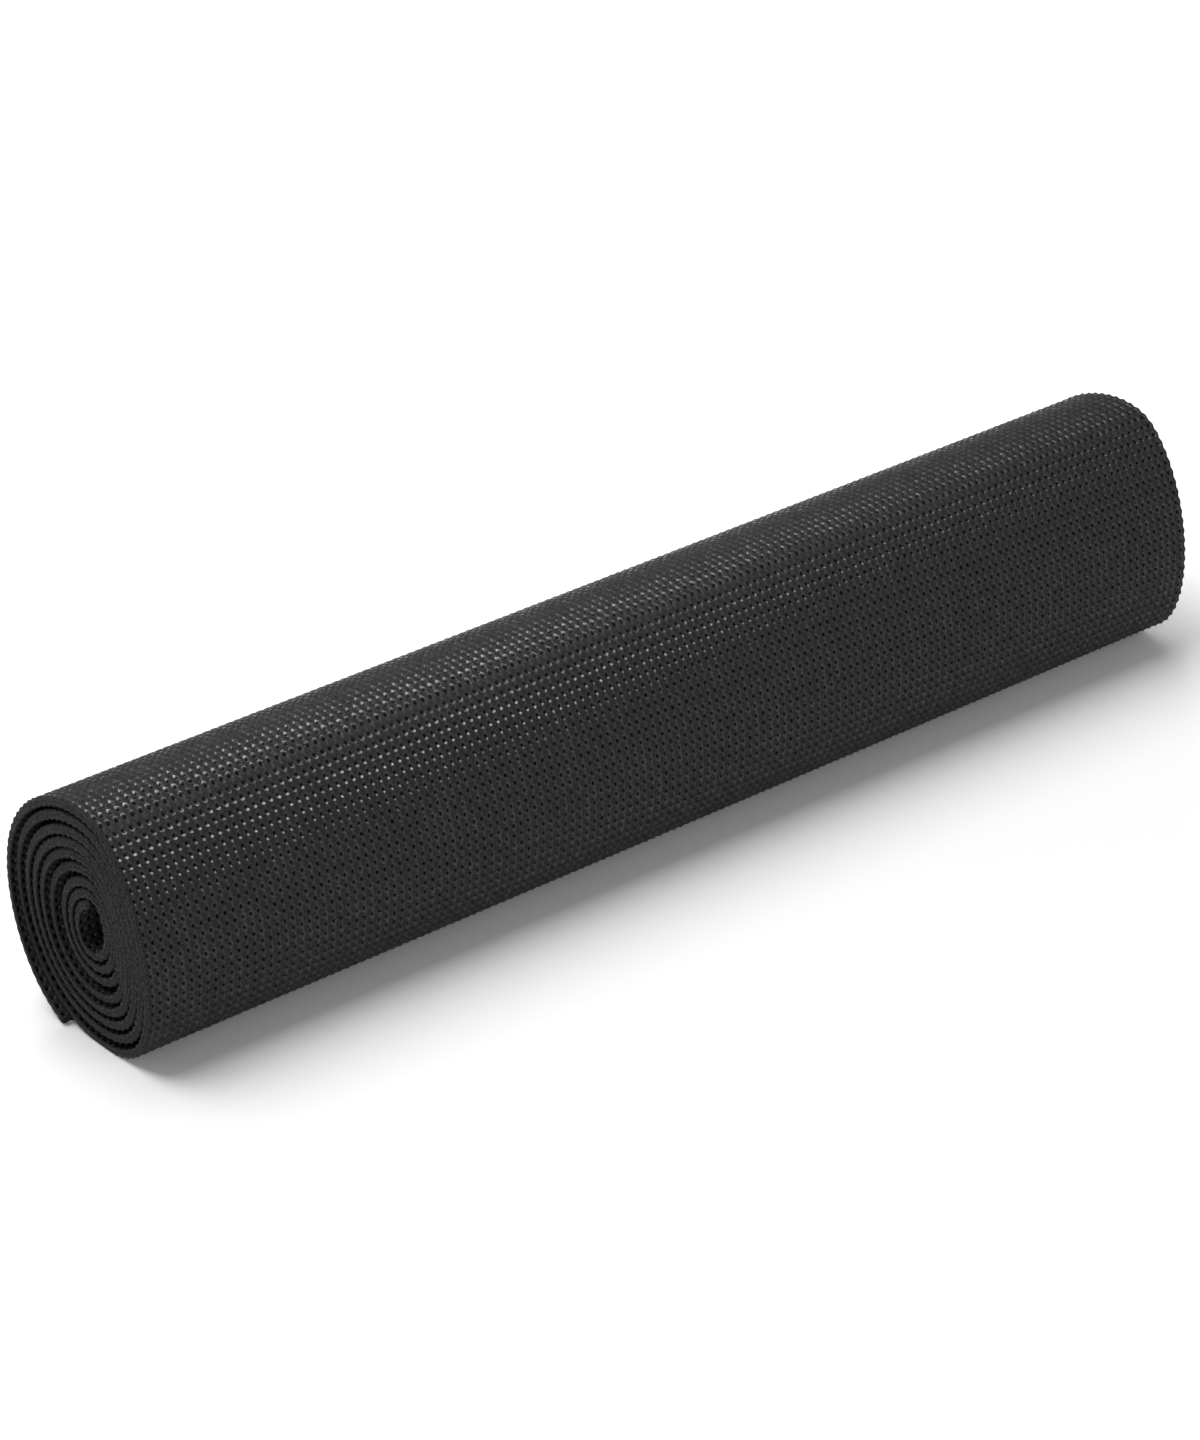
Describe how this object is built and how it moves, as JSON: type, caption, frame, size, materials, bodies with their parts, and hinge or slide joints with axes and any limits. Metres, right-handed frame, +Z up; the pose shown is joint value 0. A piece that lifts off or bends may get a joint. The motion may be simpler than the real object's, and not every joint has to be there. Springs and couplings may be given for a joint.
{
  "type": "yoga mat",
  "caption": "Rolled foam exercise mat with a textured grip on both faces, a bonded scrim inside and a free outer end that peels off the roll.",
  "frame": {"origin": "on the floor, under the middle of the rolled mat's box", "axes": "+X along the roll, away from the end that shows in the picture; +Y to the side on which the free end lies; +Z up"},
  "size_m": [0.6168, 0.1118, 0.1232],
  "materials": {
    "foam": "matte",
    "scrim": "matte"
  },
  "bodies": {
    "roll": {"roll_outer_foam": "foam", "roll_scrim": "scrim", "roll_inner_foam": "foam"},
    "free_end_1": {"free_end_1_outer_foam": "foam", "free_end_1_scrim": "scrim", "free_end_1_inner_foam": "foam"},
    "free_end_2": {"free_end_2_outer_foam": "foam", "free_end_2_scrim": "scrim", "free_end_2_inner_foam": "foam"},
    "free_end_3": {"free_end_3_outer_foam": "foam", "free_end_3_scrim": "scrim", "free_end_3_inner_foam": "foam"},
    "free_end_4": {"free_end_4_outer_foam": "foam", "free_end_4_scrim": "scrim", "free_end_4_inner_foam": "foam"}
  },
  "joints": [
    {"name": "free_end_peel_1", "type": "hinge", "parent": "roll", "child": "free_end_1", "pos_m": [0, 0.04114, 0.09956], "axis": [1, 0, 0], "range_deg": [0, 26]},
    {"name": "free_end_peel_2", "type": "hinge", "parent": "free_end_1", "child": "free_end_2", "pos_m": [0, 0.05403, 0.07519], "axis": [1, 0, 0], "range_deg": [0, 26]},
    {"name": "free_end_peel_3", "type": "hinge", "parent": "free_end_2", "child": "free_end_3", "pos_m": [0, 0.05436, 0.04342], "axis": [1, 0, 0], "range_deg": [0, 26]},
    {"name": "free_end_peel_4", "type": "hinge", "parent": "free_end_3", "child": "free_end_4", "pos_m": [0, 0.04132, 0.01619], "axis": [1, 0, 0], "range_deg": [0, 26]}
  ],
  "couplings": [
    {"joint": "free_end_peel_2", "follows": "free_end_peel_1", "ratio": 1},
    {"joint": "free_end_peel_3", "follows": "free_end_peel_1", "ratio": 1},
    {"joint": "free_end_peel_4", "follows": "free_end_peel_1", "ratio": 1}
  ]
}
